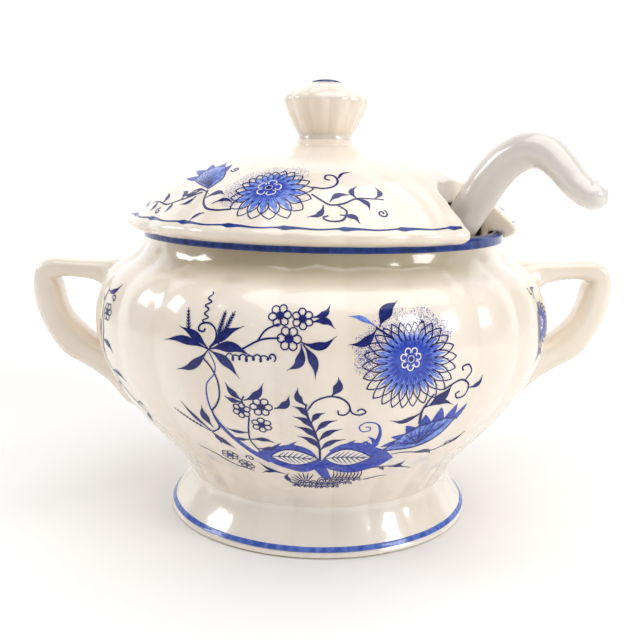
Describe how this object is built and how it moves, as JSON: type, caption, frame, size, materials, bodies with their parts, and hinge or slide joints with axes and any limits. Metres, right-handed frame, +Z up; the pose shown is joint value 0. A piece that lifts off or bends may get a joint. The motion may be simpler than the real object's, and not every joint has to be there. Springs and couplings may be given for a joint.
{
  "type": "soup tureen",
  "caption": "Ribbed, bellied soup tureen on a spreading foot, with ear handles, a domed lid with a fluted knob and a notch, and a hooked ladle that stands in it.",
  "frame": {"origin": "on the tureen's turning axis, at the table that the foot stands on", "axes": "+Z up along the turning axis, +X from the left handle to the right handle, -Y to the front, where the main flower spray is"},
  "size_m": [0.3286, 0.2524, 0.2417],
  "materials": {
    "ivory_glaze": "warm ivory earthenware under a clear gloss glaze, with cobalt blue printed flowers and bands",
    "white_glaze": "cooler white earthenware under a clear gloss glaze"
  },
  "bodies": {
    "tureen": {"bowl": "ivory_glaze", "foot": "ivory_glaze", "handle_left": "ivory_glaze", "handle_right": "ivory_glaze"},
    "lid": {"lid": "ivory_glaze", "lid_knob": "ivory_glaze"},
    "ladle": {"ladle_bowl": "white_glaze", "ladle_handle": "white_glaze"}
  },
  "joints": [
    {"name": "lid_lift", "type": "slide", "parent": "tureen", "child": "lid", "axis": [0, 0, 1], "range_m": [0, 0.12]},
    {"name": "ladle_lift", "type": "slide", "parent": "tureen", "child": "ladle", "axis": [0.4318, -0.3079, 0.8478], "range_m": [0, 0.1]}
  ]
}
